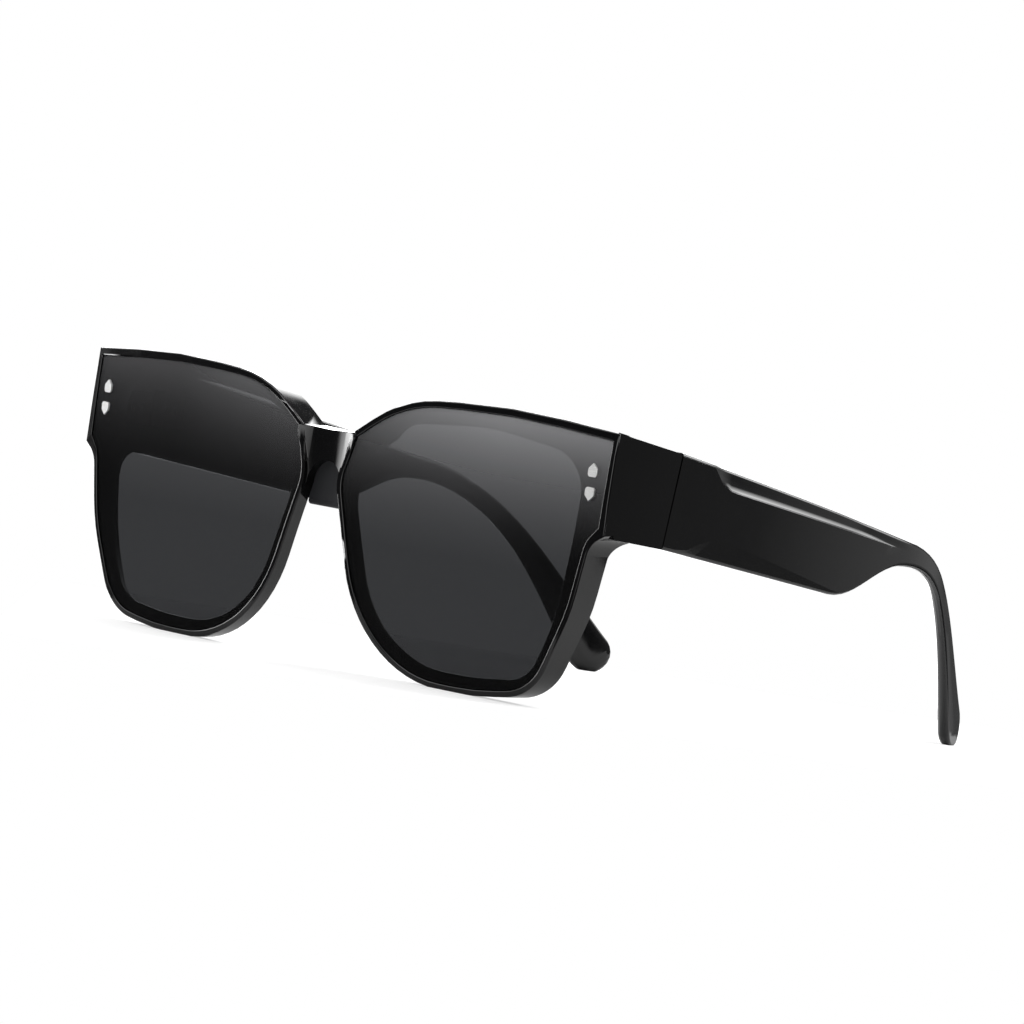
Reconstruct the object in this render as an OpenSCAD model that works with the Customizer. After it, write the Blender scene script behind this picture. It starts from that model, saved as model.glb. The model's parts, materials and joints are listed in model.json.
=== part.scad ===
// Oversize square sunglasses that fit over a pair of prescription glasses.
// +X is the wearer's left, -Y is the way the wearer looks and +Z is up.
// The origin lies on the table, below the middle of the whole object.

/* [Front] */
// Width of the front between its upper outer corners
front_w = 148.8; // [140:0.2:158]
// Height of the brow line above the eye line
brow_z = 23.8; // [20:0.1:27]
// Depth of the rims below the eye line
rim_drop = 34.2; // [28:0.1:40]
// Radius of the front face seen from above
base_curve_r = 685; // [500:5:900]
// Radius of the front face seen from the side
tall_curve_r = 322; // [250:2:500]
// Forward lean of the front
front_lean = 2.2; // [0:0.1:4]
// Depth of the rims beside the nose
rim_depth = 3; // [2.7:0.1:4.5]
// Radius of the rims' rear surface seen from above
rear_curve_r = 355; // [300:5:450]
// Radius of the rims' rear surface seen from the side
rear_tall_r = 300; // [250:5:400]
// Depth of the brow hood above the nose
hood_depth = 7.6; // [6:0.1:10]
// Wall of the brow hood
hood_wall = 2.4; // [1.8:0.1:3]
// Fall of the hood's top face for each millimetre back
hood_fall = 0.1; // [0.1:0.01:0.2]
// Radius of the hood's rear surface seen from above
hood_curve_r = 400; // [300:5:600]
// Width of the rim's bare edge round the lens
bead_w = 1.3; // [1:0.1:2]
// Extra width of that edge at the middle of the brow
bead_brow = 0.7; // [0.2:0.1:1.5]
// Extra width of that edge at the brow's outer end
bead_end = 1; // [0.2:0.1:2]
// Height of the bare edge above the lens
bead_rise = 0.35; // [0.1:0.05:0.6]

/* [Lens opening] */
// Rim behind the lens on the nose side
open_nose = 3.4; // [3:0.1:3.8]
// Rim behind the lens at the bottom
open_low = 3.6; // [3:0.1:6]
// Rim behind the lens on the temple side
open_side = 8.4; // [7.5:0.1:10]
// Rim behind the lens at the brow
open_top = 5.1; // [4.2:0.1:7]
// Depth of the ledge behind the lens, from the front's face
ledge_depth = 2; // [1.9:0.1:2.6]
// Width of the step from that ledge out to the rim's deeper wall
ledge_step = 0.9; // [0.5:0.1:1.2]
// Width of that step on the nose side
ledge_nose = 1.5; // [1.2:0.1:1.7]
// Width of that step on the temple side
ledge_side = 3.5; // [2:0.1:3.6]

/* [Bridge] */
// Width of the bridge at its top
bridge_top_w = 14.6; // [12:0.1:18]
// Width between the rims below the bridge
bridge_low_w = 8.8; // [7.6:0.1:11]
// Height of the bridge's top edge above the eye line
bridge_z = 13.2; // [11:0.1:15]
// Height of the nose arch above the eye line
arch_z = 6.7; // [5:0.1:8]
// Hollow of the bridge's front face
bridge_hollow = 1.5; // [0.5:0.1:1.8]
// Width of the nose saddle behind the arch
saddle_w = 12.4; // [11.4:0.1:13]
// Thickness of the nose saddle
saddle_t = 1.6; // [1.2:0.1:2.4]
// Lower end of the nose saddle below the eye line
saddle_drop = 1.8; // [0:0.1:4]
// Radius of the rolled lip along the saddle's lower edge
saddle_lip_r = 0.9; // [0.8:0.05:1]
// Diameter of the saddle's two fixing pegs
peg_d = 1.6; // [1.2:0.1:2]
// Length of the fixing pegs in the bridge
peg_len = 1.4; // [1:0.1:1.6]
// Height of the fixing pegs above the eye line
peg_z = 9.3; // [8.5:0.1:9.6]
// Distance between the fixing pegs
peg_span = 7; // [5:0.1:8]

/* [Lenses] */
// Thickness of a lens
lens_t = 1.1; // [0.9:0.05:1.3]
// Gap all round between a lens and its rim
lens_gap = 0.08; // [0.05:0.01:0.15]

/* [Studs] */
// Width of a stud
stud_w = 2.2; // [1.8:0.1:2.8]
// Height of a stud
stud_h = 2.7; // [2.2:0.1:3]
// Distance from the outer lens corner in to the studs
stud_in = 3.6; // [3:0.1:5]
// Height of the upper stud above the eye line
stud_upper_z = 13.8; // [12.5:0.1:15]
// Height of the lower stud above the eye line
stud_lower_z = 9.1; // [7.5:0.1:10]
// Height of a stud above the lens
stud_rise = 0.3; // [0.1:0.05:0.5]
// Depth of a stud's seat in the lens
stud_sink = 0.3; // [0.2:0.05:0.5]
// Diameter of a stud's pin
stud_pin_d = 1.2; // [1:0.1:1.4]
// Length of a stud's pin behind its seat
stud_pin_len = 1.3; // [0.8:0.1:1.5]

/* [Endpieces] */
// Height of the endpieces' top at the seam above the eye line
end_top = 19.9; // [18:0.1:21]
// Height of the endpieces' underside at the seam above the eye line
end_low = 0.6; // [-1:0.1:2]
// Distance from the front's foremost point back to the seam
seam_y = 20.3; // [18.5:0.1:24]
// Slant of the seam, which lies square to the temple
seam_tilt = 5.6; // [0:0.1:8]
// Gap between an endpiece and its temple
seam_gap = 0.3; // [0.2:0.05:0.5]
// Fall of the brow's outer end and of the endpieces for each millimetre outwards or back
brow_fall = 0.115; // [0.05:0.005:0.13]
// Radius that turns the endpieces in towards the front
end_curve_r = 110; // [90:5:160]
// Wall of the endpieces and of the temples' blades
blade_t = 4; // [3.6:0.1:5]
// Fillet between a rim and its endpiece
end_fillet_r = 5; // [3:0.1:6]

/* [Temples] */
// Distance that the temples bow out past the front's upper outer corners
bow_out = 2.1; // [1:0.1:3.2]
// Distance from the front back to a temple's widest point
bow_y = 35.2; // [30:0.1:40]
// Radius of the temples' blades seen from above
bow_r = 450; // [400:5:600]
// Distance from the seam back to the blade's lower corner
blade_len = 58.9; // [50:0.1:64]
// Height of the blade at its lower corner
blade_end_h = 16.7; // [14:0.1:18]
// Fall of the blade's top edge for each millimetre of length
blade_fall = 0.14; // [0.1:0.001:0.17]
// Distance from the seam back to the neck over the ear
neck_len = 79.4; // [75:0.1:85]
// Distance behind the neck at which the temple starts to turn further in
turn_back = 0.6; // [-3:0.1:4]
// Radius of that turn seen from above
turn_r = 70; // [50:1:120]
// Angle of that turn
ear_turn = 16; // [10:0.5:20]
// Height of the temple at the neck
neck_h = 5.3; // [4.4:0.1:6.5]
// Height of the temple in the middle of the bend behind the ear
waist_h = 4.3; // [3.8:0.1:5.5]
// Distance that the temple runs straight on behind the neck
ear_reach = 22; // [18:0.5:25]
// Distance from the neck back to the tip's widest place
ear_len = 45.8; // [41:0.1:49]
// Length of the tip's round end
tip_round = 5.2; // [3.5:0.1:6]
// Width of the tip
tip_w = 8.8; // [7:0.1:10]
// Thickness of the temple at the neck
neck_t = 2.8; // [2.4:0.1:3.6]
// Thickness of the tip
tip_t = 3.5; // [2.6:0.1:4.2]
// Depth of the scoop along the blade's upper outer edge
scoop_depth = 1.1; // [0.5:0.1:1.4]
// Distance from the seam to the scoop's front end
scoop_start = 10.4; // [8:0.1:14]
// Height of the scoop at its front end
scoop_h = 4.1; // [3:0.1:5]
// Depth of the bevel along the blade's lower outer edge
bevel_depth = 0.6; // [0.2:0.1:1]
// Height of that bevel at its front end
bevel_h = 4.4; // [3:0.1:5.5]

/* [Hinges] */
// Height of a hinge's five knuckles together
hinge_h = 7; // [6:0.1:8]
// Gap between neighbouring knuckles
knuckle_gap = 0.06; // [0.04:0.01:0.1]
// Radius of a knuckle
knuckle_r = 1.5; // [1.35:0.05:1.7]
// Length of a leaf from the hinge axis
leaf_len = 8.2; // [7.6:0.1:9]
// Thickness of a leaf
leaf_t = 1; // [0.8:0.05:1.2]
// Depth of a leaf below the plastic's inner face
leaf_sink = 0.6; // [0.3:0.05:0.7]
// Diameter of a hinge screw's shank
screw_d = 1.3; // [1.2:0.05:1.4]
// Radial clearance of a hinge screw in the knuckles
screw_gap = 0.04; // [0.02:0.01:0.08]
// Diameter of a hinge screw's head
screw_head_d = 2.4; // [2.1:0.1:2.7]
// Height of a hinge screw's head
screw_head_h = 0.7; // [0.5:0.05:1]
// Diameter of a leaf screw's shank
pin_d = 1.1; // [0.9:0.05:1.3]
// Diameter of a leaf screw's head
pin_head_d = 1.9; // [1.7:0.05:2.1]
// Height of a leaf screw's head
pin_head_h = 0.4; // [0.3:0.05:0.6]
// Length of a leaf screw below its head
pin_len = 2.8; // [2.2:0.1:3]
// Distance from the hinge axis to the nearer leaf screw
pin_near = 3.6; // [3.3:0.1:4]
// Distance between the two leaf screws
pin_pitch = 2.9; // [2.4:0.1:3.2]

/* [Hidden] */

// Fine enough for the large radii of the front and for round parts
curve_fn = 720;
round_fn = 48;
// Largest step along a rounded corner, in degrees
arc_step = 6;
// Clearance of parts that are pushed or glued together
snug = 0.02;
// Overlap of cutting bodies past the face that they cut
past = 1;
// Room by which the front's blocks run out past the faces that end them at the sides
side_play = 2;
// Far enough to pass through the whole front
through = 60;

black = [0.06, 0.06, 0.065];
smoke = [0.22, 0.23, 0.24, 0.75];
steel = [0.8, 0.8, 0.82];
dark_rubber = [0.12, 0.12, 0.13];

// Rounded outlines

// Unit vector from a to b; of corners with a radius, only their places count
function toward(a, b) = let (d = [b[0] - a[0], b[1] - a[1]]) d/norm(d);

// Points of the arc that rounds corner q between corners p and n, each [x, z, radius]
function corner_arc(p, q, n) =
    let (
        mid = [q[0], q[1]],
        a = toward(mid, [p[0], p[1]]),
        b = toward(mid, [n[0], n[1]]),
        half = acos(a*b)/2,
        centre = mid + toward([0, 0], a + b)*q[2]/sin(half),
        start = mid + a*q[2]/tan(half) - centre,
        turn = (cross(a, b) < 0 ? 1 : -1)*(180 - 2*half),
        steps = max(1, ceil(abs(turn)/arc_step))
    )
    [for (i = [0:steps])
        let (w = turn*i/steps)
        centre + [start[0]*cos(w) - start[1]*sin(w), start[0]*sin(w) + start[1]*cos(w)]];

function at(list, i) = list[(i + len(list)) % len(list)];

function rounded(corners) =
    [for (i = [0:len(corners) - 1])
        each corner_arc(at(corners, i - 1), corners[i], at(corners, i + 1))];

// The same outline moved in by w; the corners run clockwise
function inset(corners, w) =
    [for (i = [0:len(corners) - 1])
        let (
            p = at(corners, i - 1),
            q = corners[i],
            n = at(corners, i + 1),
            u = toward([p[0], p[1]], [q[0], q[1]]),
            v = toward([q[0], q[1]], [n[0], n[1]]),
            nu = [u[1], -u[0]],
            nv = [v[1], -v[0]],
            moved = [q[0], q[1]] + (nu + nv)*w/(1 + nu*nv),
            r = cross(u, v) < 0 ? max(q[2] - w, 0.3) : q[2] + w
        )
        [moved[0], moved[1], r]];

half_w = front_w/2;
bow_x = half_w + bow_out;
nose_x = bridge_low_w/2;
// Corners of the left rim, clockwise from the nose: [x, z, radius]
nose_bend = [nose_x - 0.1, 3.2, 10];
bridge_corner = [bridge_top_w/2, bridge_z + 0.2, 1.5];
brow_rise = [bridge_top_w/2 + 12.2, brow_z - 2.1, 34];
brow_mid = [half_w*0.64, brow_z, 200];
brow_end = [half_w, brow_z - 1.7, 1];
side_low = [half_w - 0.4, end_low + 1.9, 1];
// Run of the rims' lower edge between its corners
low_from = nose_x + 11.2;
low_to = half_w - 13.2;
low_run = low_to - low_from;
rim_below = [
    [half_w - 3.2, end_low - 1.3, 5],
    [half_w - 5.7, -14.5, 38],
    [low_to, -rim_drop + 2.3, 12],
    [low_to - 0.325*low_run, -rim_drop, 1.535*low_run],
    [low_from, -rim_drop + 0.1, 0.636*low_run]
];
rim_corners = concat([nose_bend, bridge_corner, brow_rise, brow_mid, brow_end, side_low], rim_below);
// The lens follows the rim, but the bare edge widens along the brow
lens_brow = [brow_rise, brow_mid - [0, bead_brow, 0], brow_end - [0, bead_end, 0]];
lens_corners = inset(concat([nose_bend, bridge_corner], lens_brow, [side_low], rim_below), bead_w);

// Corners of an opening that leaves these widths of rim round it
function opening(nose, low, side, top) = [
    [nose_x + nose + 0.6, 2, 12],
    [bridge_top_w/2 + nose + 5.3, brow_z - top - 2.3, 9],
    [half_w*0.56, brow_z - top, 60],
    [half_w - side + 0.7, brow_z - top - 3, 9],
    [half_w - side, 0, 60],
    [half_w - side - 2.2, -17.5, 45],
    [half_w - side - 8, -rim_drop + low + 1.5, 8],
    [half_w - 30, -rim_drop + low, 70],
    [nose_x + nose + 11.2, -rim_drop + low + 0.1, 24]
];
open_corners = opening(open_nose, open_low, open_side, open_top);
// The same behind the ledge
deep_corners = opening(open_nose - ledge_nose, open_low - ledge_step, open_side - ledge_side,
                       open_top - ledge_step/2);

// Face of the front: its distance back at a place on it, before the lean
function face_y(x, z) =
    base_curve_r - tall_curve_r
    + tall_curve_r - sqrt(pow(base_curve_r - tall_curve_r + sqrt(pow(tall_curve_r, 2) - z*z), 2) - x*x);
function leaned(x, y, z) =
    [x, y*cos(front_lean) - z*sin(front_lean), y*sin(front_lean) + z*cos(front_lean)];

// Height of the table below the eye line
rest_z = min([for (p = rounded(rim_corners)) leaned(p[0], face_y(p[0], p[1]), p[1])[2]]);
// Depth of the moulding trimmed off to make the flats that the glasses stand on
rest_trim = 0.15;

blade_y = seam_y + blade_len;
neck_y = seam_y + neck_len;
// Where the temples turn further in towards the head, and the angles there
turn_y = neck_y + turn_back;
turn_from = asin((turn_y - bow_y)/bow_r);
turn_to = turn_from + ear_turn;
turned_y = turn_y + turn_r*(sin(turn_to) - sin(turn_from));
// Outer face of the endpieces and temples: a long arc, a tighter one and a straight end
function side_x(y) =
    y < turn_y ? bow_x - bow_r + sqrt(bow_r*bow_r - pow(y - bow_y, 2))
    : y < turned_y ? bow_x - bow_r + (bow_r - turn_r)*cos(turn_from)
        + turn_r*cos(asin(sin(turn_from) + (y - turn_y)/turn_r))
    : bow_x - bow_r + (bow_r - turn_r)*cos(turn_from) + turn_r*cos(turn_to)
        - (y - turned_y)*tan(turn_to);
end_mid = (end_top + end_low)/2;
function seam_at(z) = seam_y + (z - end_mid)*tan(seam_tilt);

// Hinge axis
hinge_x = side_x(seam_y) - blade_t - knuckle_r + leaf_sink;
leaf_floor = hinge_x + knuckle_r;
knuckle_h = (hinge_h - 4*knuckle_gap)/5;
function knuckle_z(i) = end_mid - hinge_h/2 + i*(knuckle_h + knuckle_gap);
// Room round the knuckles in the plastic and in the other leaf
knuckle_room = 0.2;

// Temple

function lerp(a, b, s) = a + (b - a)*s;
function bezier(p, s) =
    p[0]*pow(1 - s, 3) + p[1]*3*s*pow(1 - s, 2) + p[2]*3*s*s*(1 - s) + p[3]*pow(s, 3);
function bezier_way(p, s) =
    toward([0, 0],
        (p[1] - p[0])*pow(1 - s, 2) + (p[2] - p[1])*2*s*(1 - s) + (p[3] - p[2])*s*s);

tip_z = rest_z + 4.7;
temple_start = seam_gap/2;

seam_top = [seam_at(end_top) + temple_start, end_top - 0.1];
seam_low = [seam_at(end_low) + temple_start, end_low];
function top_line(y) = end_top - 0.1 - blade_fall*(y - seam_y - 1);
// The straight blade ends a little before its lower corner
blade_stop = blade_y - 6;
blade_top = [blade_stop, top_line(blade_stop)];
blade_low = [blade_stop, top_line(blade_stop) - blade_end_h];
neck_mid = [neck_y, top_line(neck_y) - neck_h/2 - 0.3];
neck_lean = 2;
neck_way = [cos(neck_lean), -sin(neck_lean)];
neck_side = [sin(neck_lean), cos(neck_lean)]*neck_h/2;
taper_top = [
    blade_top,
    [blade_y + 3, top_line(blade_y + 3)],
    neck_mid + neck_side + [-9, 1.3],
    neck_mid + neck_side
];
taper_low = [
    blade_low,
    [blade_y + 3.7, blade_low[1] - 0.8],
    neck_mid - neck_side - neck_way*10,
    neck_mid - neck_side
];
ear_end = [neck_y + ear_len, tip_z];
ear_path = [neck_mid, neck_mid + neck_way*ear_reach, ear_end - [12.7, -15.9], ear_end];

blade_steps = 16;
taper_steps = 12;
ear_steps = 20;
round_steps = 6;

// Height of the temple along the ear bend, narrowest near its middle
function ear_h(s) = neck_h*(1 - s)*(1 - 2*s) + 4*waist_h*s*(1 - s) + tip_w*s*(2*s - 1);

// One rib across the temple: [low point, top point, thickness, radius of its outer
// edges, height and depth of the rounding on its inner side]
blade_edge = [0.6, 0.6, 0.6];
ear_edge = [0.9, 2.2, 1.4];
function blade_rib(s) =
    [lerp(seam_low, blade_low, s), lerp(seam_top, blade_top, s), blade_t, each blade_edge];
function taper_rib(s) =
    [bezier(taper_low, s), bezier(taper_top, s), lerp(blade_t, neck_t, s),
     each lerp(blade_edge, ear_edge, s)];
function ear_rib(s) =
    let (
        way = bezier_way(ear_path, s),
        side = [-way[1], way[0]]*ear_h(s)/2
    )
    [bezier(ear_path, s) - side, bezier(ear_path, s) + side, lerp(neck_t, tip_t, s), each ear_edge];
function end_rib(turn) =
    let (
        way = bezier_way(ear_path, 1),
        side = [-way[1], way[0]]*tip_w/2*cos(turn),
        mid = ear_end + way*tip_round*sin(turn),
        share = lerp(0.4, 1, cos(turn))
    )
    [mid - side, mid + side, tip_t*share, each ear_edge*share];

ribs = concat(
    [for (i = [0:blade_steps - 1]) blade_rib(i/blade_steps)],
    [for (i = [0:taper_steps - 1]) taper_rib(i/taper_steps)],
    [for (i = [0:ear_steps]) ear_rib(i/ear_steps)],
    [for (i = [1:round_steps]) end_rib(84*i/round_steps)]
);

// Height above a rib's low point of the scoop's lower edge and of the bevel's upper edge
scoop_y = seam_y + scoop_start;
scoop_low_y = scoop_y + 5;
scoop_end_y = neck_y - 2;
function scoop_z(y) =
    let (ease = min(max((y - scoop_y)/(scoop_low_y - scoop_y), 0), 1))
    lerp(top_line(y), top_line(scoop_low_y) - scoop_h - 0.115*(y - scoop_low_y), sin(90*ease));
function scoop_fade(y) = min(max((scoop_end_y - y)/16, 0), 1);
bevel_y = seam_y + 5;
function bevel_z(y, low) =
    let (ease = min(max((y - bevel_y)/11, 0), 1))
    low + lerp(0, bevel_h*min(max((blade_y + 4 - y)/(blade_y - bevel_y - 11), 0), 1), sin(90*ease));

// Outline of a rib: [distance up from its low point, depth in from the outer face]
quarter = [0, 30, 60, 90];
function rib_outline(rib) =
    let (
        h = norm(rib[1] - rib[0]),
        t = rib[2],
        r = min(rib[3], h*0.4),
        inner_h = min(rib[4], h*0.48),
        inner_t = rib[5],
        y = (rib[0][0] + rib[1][0])/2,
        low = rib[0][1],
        bevel = min(max(bevel_z(y, low) - low, r*1.05), h*0.45),
        scoop = min(max(scoop_z(y) - low, h*0.55), h - r*1.05),
        rise = h - r - scoop,
        in_low = bevel_depth*min(max(bevel - r, 0)/(bevel_h*0.5), 1),
        in_top = scoop_depth*scoop_fade(y)*min(rise/(scoop_h*0.5), 1)
    )
    concat(
        [for (a = quarter) [r - r*cos(a), in_low + r - r*sin(a)]],
        [[bevel, 0], [lerp(bevel, scoop, 0.5), 0], [scoop, 0]],
        [for (q = [0.06, 0.2, 0.45, 0.75]) [scoop + rise*q, in_top*sqrt(1 - pow(1 - q, 2))]],
        [for (a = quarter) [h - r + r*sin(a), in_top + r - r*cos(a)]],
        [for (a = quarter) [h - inner_h + inner_h*cos(a), t - inner_t + inner_t*sin(a)]],
        [for (a = quarter) [inner_h - inner_h*sin(a), t - inner_t + inner_t*cos(a)]]
    );
function rib_ring(rib) =
    let (up = toward(rib[0], rib[1]))
    [for (p = rib_outline(rib))
        let (yz = rib[0] + up*p[0])
        [side_x(yz[0]) - p[1], yz[0], yz[1]]];

function mean(list) = list*[for (i = list) 1]/len(list);
function middle(ring) = [for (k = [0:2]) mean([for (p = ring) p[k]])];

// A closed skin over rings of points, with a fan at each end
module skin(rings) {
    n = len(rings[0]);
    last = len(rings) - 1;
    points = concat([for (ring = rings) each ring], [middle(rings[0]), middle(rings[last])]);
    sides = [for (i = [0:last - 1], j = [0:n - 1])
        let (a = i*n + j, b = i*n + (j + 1) % n)
        each [[a, b, b + n], [a, b + n, a + n]]];
    caps = [for (j = [0:n - 1])
        each [[(j + 1) % n, j, len(points) - 2],
              [last*n + j, last*n + (j + 1) % n, len(points) - 1]]];
    polyhedron(points = points, faces = concat(sides, caps), convexity = 6);
}

// Foremost and rearmost points, for the place of the origin
front_y = min([for (p = rounded(rim_corners)) leaned(p[0], face_y(p[0], p[1]), p[1])[1]]);
back_y = max([for (rib = ribs) max(rib[0][0], rib[1][0])]);
mid_y = (front_y + back_y)/2;

// Placing

module stand() {
    translate([0, -mid_y, -rest_z - rest_trim]) children();
}

module lean() {
    rotate([front_lean, 0, 0]) children();
}

// Right-hand parts are mirror images of the left-hand ones
module sided(side) {
    mirror([side < 0 ? 1 : 0, 0, 0]) children();
}

module both() {
    for (side = [1, -1]) sided(side) children();
}

// A flat shape, drawn as seen from the front, made solid from y0 back to y1
module slab(y0, y1) {
    translate([0, y1, 0]) rotate([90, 0, 0]) linear_extrude(y1 - y0) children();
}

// A flat shape in Y and Z made solid from x0 to x1
module side_slab(x0, x1) {
    translate([x0, 0, 0]) rotate([90, 0, 90]) linear_extrude(x1 - x0) children();
}

// Everything behind a barrel-shaped surface whose foremost point is at y0
module behind(y0, flat_r, tall_r) {
    depth = 70;
    low = rim_drop + 17.8;
    high = brow_z + 21.1;
    half_turn = asin((half_w + 12)/(flat_r - depth));
    translate([0, y0 + flat_r, 0])
    rotate([0, 0, -90 - half_turn])
    rotate_extrude(angle = 2*half_turn, $fn = curve_fn)
    intersection() {
        translate([flat_r - tall_r, 0]) circle(r = tall_r, $fn = curve_fn);
        translate([flat_r - depth, -low]) square([depth + past, low + high]);
    }
}

// Everything behind the front's face, or behind a surface d further in
module behind_face(d = 0) {
    behind(d, base_curve_r - d, tall_curve_r - d);
}

// Everything above the table
module above_table() {
    translate([-front_w, -front_w, rest_z + rest_trim]) cube([2*front_w, 4*front_w, front_w]);
}

// Front frame

// The corner where the line through corners a and b reaches height z, or a distance d past b
function on_line(a, b, z) = [a[0] + (b[0] - a[0])*(z - a[1])/(b[1] - a[1]), z, 1];
function past_end(a, b, d) = [each [b[0], b[1]] + toward(a, b)*d, 1];

// Side and lower walls of half of the front, running on above the brow
module lower_walls() {
    top = brow_z + 8;
    slab(-past, through) polygon(rounded(concat(
        [nose_bend, on_line(nose_bend, bridge_corner, top), [half_w + side_play, top, 1],
         side_low + [side_play, 0, 0]],
        rim_below)));
}

// Upper walls of half of the front, running on below the rims
module brow_walls() {
    low = -rim_drop - 8;
    nose_end = on_line(bridge_corner, brow_rise, 0);
    slab(-past, through) polygon(rounded([
        brow_rise, brow_mid, past_end(brow_mid, brow_end, 2*side_play),
        [half_w + 2*side_play, low, 1], [nose_end[0], low, 1], nose_end]));
}

// Tilts walls of the leaned front so that they fall with the hood's top face as they run back
module fall_back() {
    rotate([-front_lean, 0, 0])
    translate([0, 0, brow_z])
    rotate([-atan(hood_fall), 0, 0])
    translate([0, 0, -brow_z])
    children();
}

// Half of the front as one block; the hood's top face falls back from the face's edge
module front_block() {
    intersection() {
        lower_walls();
        fall_back() brow_walls();
        behind_face();
    }
}

// Rear faces of the rim: what lies behind them is cut off, except below the
// hood's wall and in the fillet at the endpiece
module rim_relief() {
    behind(hood_depth, hood_curve_r, tall_curve_r);
    difference() {
        behind(rim_depth, rear_curve_r, rear_tall_r);
        fall_back() slab(0, through) hood_zone();
        side_slab(half_w*0.8, half_w + past) fillet_zone();
    }
}

// Seen from the front: the hood's wall along the brow
module hood_zone() {
    difference() {
        translate([-past, bridge_z - hood_wall]) square([front_w, front_w]);
        polygon(rounded(inset(rim_corners, hood_wall)));
    }
}

// Seen from the side: the concave corner below an endpiece
module fillet_zone() {
    rear = rim_depth + pow(half_w - 4, 2)/(2*rear_curve_r);
    difference() {
        translate([rear - 3, end_low - end_fillet_r]) square([end_fillet_r + 3, end_fillet_r + 2]);
        translate([rear + end_fillet_r, end_low - end_fillet_r])
        circle(r = end_fillet_r, $fn = round_fn);
    }
}

arch_r = nose_x + 0.35;
// Underside of the hood over the bridge, which runs a little below the hood's wall
bridge_hood_z = bridge_z - hood_wall - 0.4;

module bridge_shape() {
    difference() {
        polygon([[0, bridge_z - 0.3], [bridge_top_w/2 + 0.3, bridge_z],
                 [bridge_top_w/2 + 1.5, bridge_z - 2], [nose_x + 0.6, 1.6], [0, 1.6]]);
        translate([0, arch_z - arch_r]) circle(r = arch_r, $fn = round_fn);
        translate([0, arch_z - arch_r - 10]) square([arch_r, 10]);
    }
}

module bridge() {
    hollow_r = (pow(bridge_top_w/2, 2) + pow(bridge_hollow, 2))/(2*bridge_hollow);
    both() difference() {
        union() {
            slab(-0.2, rim_depth) bridge_shape();
            slab(-0.2, hood_depth) intersection() {
                bridge_shape();
                translate([0, bridge_hood_z]) square([front_w, front_w]);
            }
        }
        translate([0, bridge_hollow - hollow_r, -front_w])
        cylinder(r = hollow_r, h = 2*front_w, $fn = curve_fn);
    }
}

// Everything inside the curve that turns the endpieces in towards the front
module inside_end_curve() {
    ahead = seam_y + 4.7;
    from_front = ahead - face_y(half_w, 0);
    translate([half_w - sqrt(pow(end_curve_r, 2) - pow(from_front, 2)), ahead, -front_w])
    cylinder(r = end_curve_r, h = 2*front_w, $fn = curve_fn);
}

// Everything inside the temples' outer faces, or inside a surface t further in
module inside_bow(t = 0) {
    translate([bow_x - bow_r, bow_y, -front_w])
    cylinder(r = bow_r - t, h = 2*front_w, $fn = curve_fn);
}

// Wall from the rim back to the seam
module endpiece() {
    difference() {
        side_slab(half_w - 14, half_w + 4) polygon([
            [face_y(half_w, 0) + 2.5, end_low + 0.6],
            [seam_at(end_low) - seam_gap/2, end_low],
            [seam_at(end_top) - seam_gap/2, end_top + 1],
            [face_y(half_w, 0) + 2.5, brow_z]
        ]);
        inside_bow(blade_t);
    }
}

// Everything above the top faces, which fall outwards and backwards
module above_brow() {
    translate([half_w, seam_y, end_top])
    rotate([-atan(brow_fall), atan(brow_fall), 0])
    translate([-front_w, -front_w, 0])
    cube(2*front_w);
}

// Pocket for a leaf and its knuckles, open towards the middle of the glasses
module leaf_pocket(way) {
    z0 = end_mid - hinge_h/2 - snug;
    z1 = end_mid + hinge_h/2 + snug;
    translate([hinge_x - 6, way > 0 ? seam_y - 3 : seam_y - leaf_len - snug, z0])
    cube([leaf_floor - hinge_x + 6, leaf_len + 3 + snug, z1 - z0]);
    ends = screw_head_h + knuckle_room;
    translate([hinge_x, seam_y, z0 - ends])
    cylinder(r = knuckle_r + knuckle_room, h = z1 - z0 + 2*ends, $fn = round_fn);
}

// Places of the two screws of a leaf; way is 1 on the temple and -1 on the front
module leaf_screw_places(way) {
    for (k = [0, 1])
        translate([leaf_floor, seam_y + way*(pin_near + k*pin_pitch), end_mid])
        rotate([0, 90, 0])
        children();
}

module leaf_screw_holes(way) {
    leaf_screw_places(way)
    translate([0, 0, -past])
    cylinder(d = pin_d + 2*snug, h = past + pin_len - leaf_t + 0.3, $fn = round_fn);
}

module front_frame() {
    color(black) stand() difference() {
        union() {
            lean() bridge();
            both() difference() {
                intersection() {
                    union() {
                        lean() difference() {
                            front_block();
                            rim_relief();
                        }
                        endpiece();
                    }
                    inside_bow();
                    inside_end_curve();
                }
                above_brow();
            }
        }
        lean() both() {
            lens_seat();
            slab(-past, through) polygon(rounded(open_corners));
            intersection() {
                slab(-past, through) polygon(rounded(deep_corners));
                behind_face(ledge_depth);
            }
            stud_places() stud_hole();
        }
        lean() saddle_pegs(snug);
        both() {
            leaf_pocket(-1);
            leaf_screw_holes(-1);
        }
        mirror([0, 0, 1]) translate([-front_w, -front_w, -rest_z - rest_trim])
        cube([2*front_w, 4*front_w, front_w]);
    }
}

// Room for a lens in its rim
module lens_seat() {
    difference() {
        slab(-through, through) polygon(rounded(inset(lens_corners, -lens_gap)));
        behind_face(bead_rise + lens_t + snug);
    }
}

// Nose saddle

// Front of the plate, which clears the rims' curved rear faces beside the bridge
saddle_y = rim_depth + pow(saddle_w/2, 2)/(2*rear_curve_r) + snug;
saddle_back = saddle_y + saddle_t;

// Plate that hangs from the bridge behind the arch
module saddle_shape() {
    square([saddle_w, 2*(arch_z + 0.6)], center = true);
    square([peg_span + 2*peg_d, 2*(bridge_hood_z - snug)], center = true);
}

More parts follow.
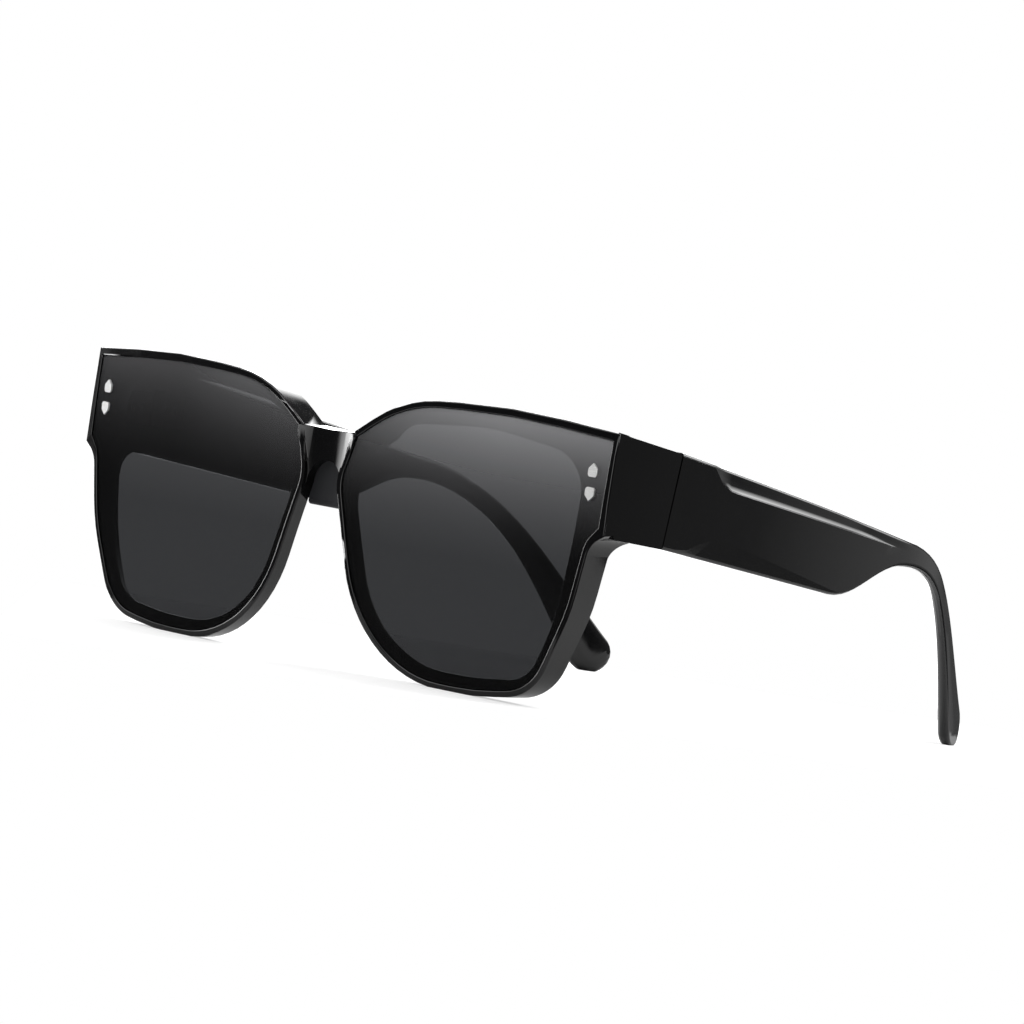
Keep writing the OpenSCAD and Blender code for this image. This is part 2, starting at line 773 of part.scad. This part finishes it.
module saddle_pegs(grow) {
    for (side = [1, -1])
        translate([side*peg_span/2, rim_depth - peg_len - grow, peg_z])
        rotate([-90, 0, 0])
        cylinder(d = peg_d + 2*grow, h = peg_len + grow + saddle_y - rim_depth + saddle_t/2,
                 $fn = round_fn);
}

// Rolled lip along the plate's lower edge, with bevelled ends
module saddle_lip() {
    reach = saddle_w/2;
    edge = saddle_lip_r/2;
    stand_out = saddle_lip_r/3;
    translate([0, saddle_back - saddle_lip_r + stand_out, -saddle_drop])
    rotate([0, 90, 0])
    rotate_extrude($fn = round_fn)
    polygon([[0, -reach], [saddle_lip_r - edge, -reach], [saddle_lip_r, -reach + edge],
             [saddle_lip_r, reach - edge], [saddle_lip_r - edge, reach], [0, reach]]);
}

module nose_saddle() {
    color(dark_rubber) stand() lean() {
        slab(saddle_y, saddle_back) intersection() {
            saddle_shape();
            translate([-saddle_w, saddle_lip_r/3 - saddle_drop]) square([2*saddle_w, front_w]);
        }
        saddle_lip();
        saddle_pegs(0);
    }
}

// Lenses

module lens(side) {
    color(smoke) stand() lean() sided(side) difference() {
        intersection() {
            slab(-past, through) polygon(rounded(lens_corners));
            behind_face(bead_rise);
        }
        behind_face(bead_rise + lens_t);
        stud_places() stud_hole();
    }
}

// Studs

stud_x = half_w - bead_w - stud_in;
// Lean of the studs' plane with the face that they sit on
stud_turn = asin(stud_x/base_curve_r);

function stud_z(upper) = upper ? stud_upper_z : stud_lower_z;

// A stud stands at its place with +Z out of the face and +Y up
module stud_place(upper) {
    z = stud_z(upper);
    translate([stud_x, face_y(stud_x, z) + bead_rise, z])
    rotate([90, 0, 0])
    rotate([0, stud_turn, 0])
    children();
}

module stud_places() {
    stud_place(true) rotate([0, 0, 0]) children();
    stud_place(false) rotate([0, 0, 180]) children();
}

// Bullet outline: flat at the bottom and pointed at the top
module stud_shape(grow) {
    w = stud_w/2 + grow;
    h = stud_h/2 + grow;
    bow = 2.2*stud_w;
    intersection() {
        translate([-w, -h]) square([2*w, 2*h]);
        translate([w - bow, -h*0.3]) circle(r = bow, $fn = 2*round_fn);
        translate([bow - w, -h*0.3]) circle(r = bow, $fn = 2*round_fn);
        translate([0, h - 1.55*w]) rotate(45) square(2.2*w, center = true);
    }
}

module stud_hole() {
    translate([0, 0, -stud_sink]) linear_extrude(stud_sink + 2) stud_shape(snug);
    translate([0, 0, -stud_sink - stud_pin_len - snug])
    cylinder(d = stud_pin_d + 2*snug, h = stud_pin_len + stud_sink, $fn = round_fn);
}

module stud(side, upper) {
    color(steel) stand() lean() sided(side) stud_place(upper) rotate([0, 0, upper ? 0 : 180]) {
        translate([0, 0, -stud_sink]) linear_extrude(stud_sink + stud_rise) stud_shape(0);
        translate([0, 0, -stud_sink - stud_pin_len])
        cylinder(d = stud_pin_d, h = stud_pin_len + stud_sink/2, $fn = round_fn);
    }
}

// Temples

module temple(side) {
    color(black) stand() sided(side) intersection() {
        difference() {
            skin([for (rib = ribs) rib_ring(rib)]);
            leaf_pocket(1);
            leaf_screw_holes(1);
        }
        above_table();
    }
}

// Hinges

module knuckles(first) {
    for (i = [first:2:4])
        translate([hinge_x, seam_y, knuckle_z(i)])
        cylinder(r = knuckle_r, h = knuckle_h, $fn = round_fn);
}

// The front leaf has the first, third and fifth knuckles; way is 1 on the temple leaf
module leaf(way) {
    first = way < 0 ? 0 : 1;
    difference() {
        union() {
            knuckles(first);
            translate([leaf_floor - leaf_t, way < 0 ? seam_y - leaf_len : seam_y, end_mid - hinge_h/2])
            cube([leaf_t, leaf_len, hinge_h]);
        }
        for (i = [1 - first:2:4])
            translate([hinge_x, seam_y, knuckle_z(i) - knuckle_gap])
            cylinder(r = knuckle_r + knuckle_room/2, h = knuckle_h + 2*knuckle_gap, $fn = round_fn);
        translate([hinge_x, seam_y, end_mid - hinge_h])
        cylinder(d = screw_d + 2*screw_gap, h = 2*hinge_h, $fn = round_fn);
        leaf_screw_places(way)
        translate([0, 0, -leaf_t - past])
        cylinder(d = pin_d + 2*snug, h = leaf_t + 2*past, $fn = round_fn);
    }
}

module hinge_front_leaf(side) {
    color(steel) stand() sided(side) leaf(-1);
}

module hinge_temple_leaf(side) {
    color(steel) stand() sided(side) leaf(1);
}

// The head stands on the top knuckle and has one slot
module hinge_screw(side) {
    top = end_mid + hinge_h/2;
    slot_w = 0.35;
    color(steel) stand() sided(side) translate([hinge_x, seam_y, 0]) difference() {
        union() {
            translate([0, 0, end_mid - hinge_h/2]) cylinder(d = screw_d, h = hinge_h, $fn = round_fn);
            translate([0, 0, top]) cylinder(d = screw_head_d, h = screw_head_h, $fn = round_fn);
        }
        translate([-screw_head_d, -slot_w/2, top + screw_head_h/2])
        cube([2*screw_head_d, slot_w, screw_head_h]);
    }
}

module leaf_screws(side, way) {
    slot_w = 0.25;
    color(steel) stand() sided(side) leaf_screw_places(way) translate([0, 0, -leaf_t]) difference() {
        union() {
            cylinder(d = pin_d, h = pin_len, $fn = round_fn);
            translate([0, 0, -pin_head_h]) cylinder(d = pin_head_d, h = pin_head_h, $fn = round_fn);
        }
        translate([-pin_head_d, -slot_w/2, -1.5*pin_head_h]) cube([2*pin_head_d, slot_w, pin_head_h]);
    }
}

front_frame();
nose_saddle();
lens(1);  // lens_left
lens(-1);  // lens_right
stud(1, true);  // stud_upper_left
stud(-1, true);  // stud_upper_right
stud(1, false);  // stud_lower_left
stud(-1, false);  // stud_lower_right
temple(1);  // temple_left
temple(-1);  // temple_right
hinge_front_leaf(1);  // hinge_front_leaf_left
hinge_front_leaf(-1);  // hinge_front_leaf_right
hinge_temple_leaf(1);  // hinge_temple_leaf_left
hinge_temple_leaf(-1);  // hinge_temple_leaf_right
hinge_screw(1);  // hinge_screw_left
hinge_screw(-1);  // hinge_screw_right
leaf_screws(1, -1);  // front_leaf_screws_left
leaf_screws(-1, -1);  // front_leaf_screws_right
leaf_screws(1, 1);  // temple_leaf_screws_left
leaf_screws(-1, 1);  // temple_leaf_screws_right
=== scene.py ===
"""Oversize square sunglasses on a white table: finishes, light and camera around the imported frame."""

import json
from math import cos, radians, sin

import bmesh
import bpy
from mathutils import Matrix, Vector
from mathutils.bvhtree import BVHTree

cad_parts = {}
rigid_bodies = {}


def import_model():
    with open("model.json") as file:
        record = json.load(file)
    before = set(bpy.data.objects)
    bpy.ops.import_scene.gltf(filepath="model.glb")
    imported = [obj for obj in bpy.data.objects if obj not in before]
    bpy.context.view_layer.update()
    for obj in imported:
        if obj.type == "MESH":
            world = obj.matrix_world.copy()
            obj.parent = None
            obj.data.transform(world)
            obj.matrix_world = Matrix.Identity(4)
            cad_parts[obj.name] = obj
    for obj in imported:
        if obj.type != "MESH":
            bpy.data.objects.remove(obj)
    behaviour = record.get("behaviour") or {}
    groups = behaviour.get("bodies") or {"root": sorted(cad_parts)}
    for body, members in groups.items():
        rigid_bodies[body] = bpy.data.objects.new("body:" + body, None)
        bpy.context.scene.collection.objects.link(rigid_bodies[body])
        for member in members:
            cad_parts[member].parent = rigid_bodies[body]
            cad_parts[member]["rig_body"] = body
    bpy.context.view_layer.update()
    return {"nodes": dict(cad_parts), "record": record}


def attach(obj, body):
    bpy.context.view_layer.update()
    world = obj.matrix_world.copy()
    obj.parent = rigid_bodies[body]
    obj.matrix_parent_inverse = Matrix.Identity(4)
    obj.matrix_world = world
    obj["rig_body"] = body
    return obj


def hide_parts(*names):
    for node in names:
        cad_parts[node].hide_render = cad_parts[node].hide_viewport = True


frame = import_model()
nodes = frame["nodes"]

MM = 0.001
SIDES = ("left", "right")
WHITE = (1, 1, 1, 1)


# Shader helpers

def new_material(name):
    material = bpy.data.materials.new(name)
    material.use_nodes = True
    tree = material.node_tree
    return material, tree, tree.nodes["Principled BSDF"]


def node(tree, kind, **settings):
    """A new node; each setting names one of its inputs or properties."""
    made = tree.nodes.new(kind)
    for key, value in settings.items():
        if key in made.inputs:
            made.inputs[key].default_value = value
        else:
            setattr(made, key, value)
    return made


def place(tree):
    """Object coordinates, which are the row frame's metres."""
    return node(tree, "ShaderNodeTexCoord").outputs["Object"]


def noise(tree, scale, detail):
    """Noise with about this many features a metre."""
    made = node(tree, "ShaderNodeTexNoise", Scale=scale, Detail=detail)
    tree.links.new(place(tree), made.inputs["Vector"])
    return made.outputs["Fac"]


def maths(tree, operation, *values):
    """The result of a calculation on sockets and numbers."""
    made = node(tree, "ShaderNodeMath", operation=operation)
    for slot, value in zip(made.inputs, values):
        if isinstance(value, (int, float)):
            slot.default_value = value
        else:
            tree.links.new(value, slot)
    return made.outputs[0]


def ramp(tree, value, low, high, to_low=0.0, to_high=1.0):
    """A socket's range from low to high, stretched to a new range and held at its ends."""
    made = node(tree, "ShaderNodeMapRange")
    made.inputs["From Min"].default_value = low
    made.inputs["From Max"].default_value = high
    made.inputs["To Min"].default_value = to_low
    made.inputs["To Max"].default_value = to_high
    tree.links.new(value, made.inputs["Value"])
    return made.outputs["Result"]


def bump(tree, height, strength, distance):
    made = node(tree, "ShaderNodeBump", Strength=strength, Distance=distance)
    tree.links.new(height, made.inputs["Height"])
    return made.outputs["Normal"]


def colour_mix(tree, factor, low, high):
    made = node(tree, "ShaderNodeMix", data_type="RGBA")
    made.inputs["A"].default_value = (*low, 1)
    made.inputs["B"].default_value = (*high, 1)
    tree.links.new(factor, made.inputs["Factor"])
    return made.outputs["Result"]


# Materials

# Black plastic: the tones that its mottle runs between, and its roughness, from glossy to satin
BLACK_DEEP = (0.0030, 0.0030, 0.0034)
BLACK_PALE = (0.0046, 0.0046, 0.0050)
BLACK_ROUGH = (0.08, 0.13)
BLACK_IOR = 1.5
BLACK_GRAIN = 0.02*MM


def black_plastic():
    material, tree, shader = new_material("black_plastic")
    mottle = noise(tree, 90, 3)
    sheen = noise(tree, 220, 4)
    grain = noise(tree, 3800, 2)
    tree.links.new(colour_mix(tree, mottle, BLACK_DEEP, BLACK_PALE), shader.inputs["Base Color"])
    tree.links.new(ramp(tree, sheen, 0.35, 0.65, *BLACK_ROUGH), shader.inputs["Roughness"])
    tree.links.new(bump(tree, grain, 0.05, BLACK_GRAIN), shader.inputs["Normal"])
    shader.inputs["IOR"].default_value = BLACK_IOR
    return material


# Heights between which the lenses' tint and haze change
TINT_LOW = 0.026
TINT_HIGH = 0.056
HAZE_LOW = 0.024
TINT_DARK = (0.033, 0.034, 0.036)
TINT_LIGHT = (0.074, 0.075, 0.078)
LENS_ROUGH = 0.02
LENS_IOR = 1.03
# The haze's share of the lens at the brow and at its least, and the power by which it rises
HAZE_SHARE = 0.25
HAZE_LEAST = 0.008
HAZE_POWER = 3.2
HAZE_TONE = (0.8, 0.8, 0.82, 1)
# Painted light and shade: the same haze is weakened on the right lens, the far one, and strengthened on the
# left, the near one, which paints the near lens lighter and the far one darker; the change runs over this
# half width
PAINTED_LIGHT_HALF_WIDTH = 0.045
HAZE_PAINTED_DIM_RIGHT = 0.39
HAZE_PAINTED_BRIGHT_LEFT = 1.6


def smoke_lens():
    """Grey plastic with a graduated haze that grows towards the brow, and is painted stronger on the left
    lens and weaker on the right as painted light and shade.
    """
    material, tree, shader = new_material("smoke_lens")
    split = node(tree, "ShaderNodeSeparateXYZ")
    tree.links.new(place(tree), split.inputs["Vector"])
    height = split.outputs["Z"]
    tint = ramp(tree, height, TINT_LOW, TINT_HIGH)
    tree.links.new(colour_mix(tree, tint, TINT_DARK, TINT_LIGHT), shader.inputs["Base Color"])
    tree.links.new(ramp(tree, noise(tree, 60, 2), 0.3, 0.7, 0, LENS_ROUGH), shader.inputs["Roughness"])
    shader.inputs["Transmission Weight"].default_value = 1
    shader.inputs["IOR"].default_value = LENS_IOR

    haze = node(tree, "ShaderNodeBsdfDiffuse")
    haze.inputs["Color"].default_value = HAZE_TONE
    rise = maths(tree, "POWER", ramp(tree, height, HAZE_LOW, TINT_HIGH), HAZE_POWER)
    # Painted light: the haze is scaled across X, so the near left lens looks lighter and the far right one
    # darker
    across = ramp(tree, split.outputs["X"], -PAINTED_LIGHT_HALF_WIDTH, PAINTED_LIGHT_HALF_WIDTH, HAZE_PAINTED_DIM_RIGHT, HAZE_PAINTED_BRIGHT_LEFT)
    haze_with_painted_light = maths(tree, "MULTIPLY_ADD", maths(tree, "MULTIPLY", rise, across), HAZE_SHARE, HAZE_LEAST)
    mixed = node(tree, "ShaderNodeMixShader")
    tree.links.new(haze_with_painted_light, mixed.inputs["Fac"])
    tree.links.new(shader.outputs["BSDF"], mixed.inputs[1])
    tree.links.new(haze.outputs["BSDF"], mixed.inputs[2])
    tree.links.new(mixed.outputs["Shader"], tree.nodes["Material Output"].inputs["Surface"])
    return material


# Steel: the streaks' tone as a share of the steel's, and how many times shorter they are along each axis
STREAK_SHARE = 0.93
STREAK_SHORTER = (1, 1, 12)


def steel(name, tone, grain, rough, metallic):
    """Steel with fine streaks; the studs' is nearly diffuse and near white, a painted reflection that makes
    them look white in the dim studio.
    """
    material, tree, shader = new_material(name)
    stretch = node(tree, "ShaderNodeMapping")
    stretch.inputs["Scale"].default_value = STREAK_SHORTER
    tree.links.new(place(tree), stretch.inputs["Vector"])
    texture = node(tree, "ShaderNodeTexNoise", Scale=grain, Detail=3)
    tree.links.new(stretch.outputs["Vector"], texture.inputs["Vector"])
    streaks = texture.outputs["Fac"]
    darker = tuple(STREAK_SHARE*value for value in tone)
    tree.links.new(colour_mix(tree, streaks, darker, tone), shader.inputs["Base Color"])
    tree.links.new(ramp(tree, streaks, 0.3, 0.7, *rough), shader.inputs["Roughness"])
    shader.inputs["Metallic"].default_value = metallic
    return material


# Soft grey plastic of the nose saddle
GREY_DARK = (0.009, 0.0095, 0.012)
GREY_LIGHT = (0.013, 0.0135, 0.016)
GREY_ROUGH = 0.55
GREY_GRAIN = 0.03*MM


def soft_grey():
    material, tree, shader = new_material("saddle_grey")
    tree.links.new(colour_mix(tree, noise(tree, 400, 3), GREY_DARK, GREY_LIGHT), shader.inputs["Base Color"])
    tree.links.new(bump(tree, noise(tree, 6000, 3), 0.15, GREY_GRAIN), shader.inputs["Normal"])
    shader.inputs["Roughness"].default_value = GREY_ROUGH
    return material


MATERIALS = {
    "frame_black": black_plastic(),
    "lens_smoke": smoke_lens(),
    # The studs' near-white, nearly diffuse tone is a painted highlight that stands in for their bright
    # reflection
    "stud_steel": steel("stud_steel", tone=(0.98, 0.98, 0.97), grain=900, rough=(0.2, 0.3), metallic=0.08),
    "hinge_steel": steel("hinge_steel", tone=(0.03, 0.03, 0.033), grain=700, rough=(0.3, 0.42), metallic=1),
    "saddle_grey": soft_grey(),
}
for part in frame["record"]["subparts"]:
    mesh = nodes[part["node"]].data
    mesh.materials.clear()
    mesh.materials.append(MATERIALS[part["material_slot"]])


# Moulded pieces: they stand for their nodes, with the same faces and softer front edges

# Corners closer than this are joined, and facets that turn less than this are merged
SAME_CORNER = 0.002*MM
SAME_FACET = radians(0.4)
# Edges that turn more than this are sharp
SHARP = radians(38)
# Only sharp edges with a side that faces the front this much are rounded
FACES_FRONT = -0.5
FRONT_EDGE = 0.3*MM
LENS_EDGE = 0.12*MM
EDGE_STEPS = 3
# Bevel corners farther off the node's faces than this share of the radius are put back on them
STRAY = 0.7
# Half width of the bridge, whose hollow face keeps its own edges
BRIDGE_HALF = 5.2*MM
# The faint ridge along a temple's bevel: its turn, its share of length along Y, and its lower side's slope
RIDGE_LOW = radians(3)
RIDGE_HIGH = radians(22)
RIDGE_ALONG = 0.6
FACES_DOWN = -0.04


def joined_mesh(name, merge_flat):
    """A node's mesh with its split corners joined and, if asked, its flat facets merged."""
    build = bmesh.new()
    build.from_mesh(nodes[name].data)
    bmesh.ops.remove_doubles(build, verts=build.verts, dist=SAME_CORNER)
    if merge_flat:
        bmesh.ops.dissolve_limit(build, angle_limit=SAME_FACET, verts=build.verts, edges=build.edges)
    for face in build.faces:
        face.smooth = True
    return build


def stand_in(name, build):
    """Puts a piece with this mesh in its node's place."""
    source = nodes[name]
    mesh = bpy.data.meshes.new(name + "_moulded")
    build.to_mesh(mesh)
    build.free()
    if "custom_normal" in mesh.attributes:
        mesh.attributes.remove(mesh.attributes["custom_normal"])
    mesh.materials.clear()
    mesh.materials.append(source.data.materials[0])
    piece = bpy.data.objects.new(name + "_moulded", mesh)
    bpy.context.scene.collection.objects.link(piece)
    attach(piece, source["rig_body"])
    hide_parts(name)
    return piece


def turn_of(edge):
    return edge.calc_face_angle(0.0) if len(edge.link_faces) == 2 else 0.0


def settle(piece, most):
    """Makes a piece's bevel its own mesh, and puts corners that stray off the node's faces back on them."""
    source = piece.data
    corners = [corner.co for corner in source.vertices]
    faces = BVHTree.FromPolygons(corners, [face.vertices for face in source.polygons])
    state = bpy.context.evaluated_depsgraph_get()
    bevelled = piece.evaluated_get(state)
    made = bpy.data.meshes.new_from_object(bevelled, preserve_all_data_layers=True, depsgraph=state)
    for corner in made.vertices:
        nearest, _, _, distance = faces.find_nearest(corner.co)
        if distance > most:
            corner.co = nearest
    piece.modifiers.clear()
    piece.data = made


def rounded_piece(name, radius):
    """A node with rounded front edges, by a bevel weighted to them; its rear edges stay sharp."""
    build = joined_mesh(name, True)
    weight = build.edges.layers.float.new("bevel_weight_edge")
    for edge in build.edges:
        sharp = turn_of(edge) > SHARP
        edge.smooth = not sharp
        middle = (edge.verts[0].co + edge.verts[1].co)/2
        front_side = any(face.normal.y < FACES_FRONT for face in edge.link_faces)
        if sharp and front_side and abs(middle.x) > BRIDGE_HALF:
            edge[weight] = 1.0
    piece = stand_in(name, build)
    bevel = piece.modifiers.new("edges", "BEVEL")
    bevel.width = radius
    bevel.segments = EDGE_STEPS
    bevel.limit_method = "WEIGHT"
    bevel.use_clamp_overlap = False
    bevel.harden_normals = True
    settle(piece, STRAY*radius)


def smooth_temple(name):
    """A temple whose scoop and bend shade smoothly, and whose bevel keeps its fine ridge."""
    build = joined_mesh(name, False)
    for edge in build.edges:
        turn = turn_of(edge)
        way = edge.verts[1].co - edge.verts[0].co
        along = abs(way.y) > RIDGE_ALONG*way.length
        lower = min((face.normal.z for face in edge.link_faces), default=0)
        ridge = along and RIDGE_LOW < turn < RIDGE_HIGH and lower < FACES_DOWN
        edge.smooth = not (turn > SHARP or ridge)
    stand_in(name, build)


rounded_piece("front_frame", FRONT_EDGE)
for side in SIDES:
    rounded_piece(f"lens_{side}", LENS_EDGE)
    smooth_temple(f"temple_{side}")


# Table, light and camera

# The table is a square with its corners on the axes, this far out: the rims' lower walls mirror it,
# and the temples' bevels look past it
TABLE_REACH = 0.158
TABLE_TONE = 0.52
TABLE_ROUGH = 0.9
# Light that brings the table up to white in the picture and falls on nothing
TABLE_GLOW = 0.5


def table():
    reach = TABLE_REACH
    mesh = bpy.data.meshes.new("table")
    mesh.from_pydata([(reach, 0, 0), (0, reach, 0), (-reach, 0, 0), (0, -reach, 0)], [], [(0, 1, 2, 3)])
    floor = bpy.data.objects.new("table", mesh)
    bpy.context.scene.collection.objects.link(floor)
    material, tree, shader = new_material("table_white")
    shader.inputs["Base Color"].default_value = (TABLE_TONE, TABLE_TONE, TABLE_TONE, 1)
    shader.inputs["Roughness"].default_value = TABLE_ROUGH
    shader.inputs["Specular IOR Level"].default_value = 0
    shader.inputs["Emission Color"].default_value = WHITE
    seen = node(tree, "ShaderNodeLightPath").outputs["Is Camera Ray"]
    tree.links.new(ramp(tree, seen, 0, 1, 0, TABLE_GLOW), shader.inputs["Emission Strength"])
    mesh.materials.append(material)


def direction(azimuth, elevation):
    """Azimuth 0 points to the front of the glasses, 90 to the wearer's left."""
    a, e = radians(azimuth), radians(elevation)
    return Vector((sin(a)*cos(e), -cos(a)*cos(e), sin(e)))


# Soft boxes of the studio: azimuth, elevation, inner and outer half angle, strength
SOFT_BOXES = (
    (-42, 40, 18, 28, 2.2),
    (75, 74, 22, 36, 1.6),
    (160, 44, 8, 28, 8.0),
    (168, 1, 5, 26, 0.4),
    (138, 0, 24, 46, 0.12),
    (-141, 16.5, 5, 16.5, 4.5),
    (-102, 3, 12, 43, 8.5),
    (7, 3, 3, 26, 2.8),
)
STUDIO_GREY = 0.05


def studio():
    """A dim room with soft boxes; the camera and the lenses see plain white behind the glasses."""
    world = bpy.data.worlds.new("studio")
    bpy.context.scene.world = world
    world.use_nodes = True
    tree = world.node_tree
    way = node(tree, "ShaderNodeTexCoord").outputs["Generated"]
    room = STUDIO_GREY
    for azimuth, elevation, inner, outer, strength in SOFT_BOXES:
        towards = node(tree, "ShaderNodeVectorMath", operation="DOT_PRODUCT")
        towards.inputs[1].default_value = direction(azimuth, elevation)
        tree.links.new(way, towards.inputs[0])
        edge, core = cos(radians(outer)), cos(radians(inner))
        glow = ramp(tree, towards.outputs["Value"], edge, core, 0, strength)
        room = maths(tree, "ADD", room, glow)
    ray = node(tree, "ShaderNodeLightPath")
    seen = maths(tree, "MAXIMUM", ray.outputs["Is Camera Ray"], ray.outputs["Is Transmission Ray"])
    pick = node(tree, "ShaderNodeMix", data_type="FLOAT")
    tree.links.new(seen, pick.inputs["Factor"])
    tree.links.new(room, pick.inputs["A"])
    pick.inputs["B"].default_value = 1
    background = tree.nodes["Background"]
    tree.links.new(pick.outputs["Result"], background.inputs["Strength"])
    background.inputs["Color"].default_value = WHITE


# The photograph's view: where the camera looks, from how far, and its tilt
AIM = Vector((0.0533, -0.07501, 0.03716))
VIEW_AZIMUTH = 43
VIEW_ELEVATION = 1.462
VIEW_ROLL = 9.0
VIEW_DISTANCE = 1.1655
# Focal length and sensor width, in millimetres
FOCAL = 210.35
SENSOR = 36


def camera():
    back = direction(VIEW_AZIMUTH, VIEW_ELEVATION)
    across = Vector((cos(radians(VIEW_AZIMUTH)), sin(radians(VIEW_AZIMUTH)), 0))
    upward = back.cross(across)
    roll = radians(VIEW_ROLL)
    right = across*cos(roll) + upward*sin(roll)
    up = upward*cos(roll) - across*sin(roll)
    data = bpy.data.cameras.new("camera")
    data.lens = FOCAL
    data.sensor_width = SENSOR
    eye = bpy.data.objects.new("camera", data)
    bpy.context.scene.collection.objects.link(eye)
    turn = Matrix((right, up, back)).transposed().to_4x4()
    eye.matrix_world = Matrix.Translation(AIM + back*VIEW_DISTANCE) @ turn
    bpy.context.scene.camera = eye


table()
studio()
camera()
bpy.context.scene.view_settings.view_transform = "Standard"
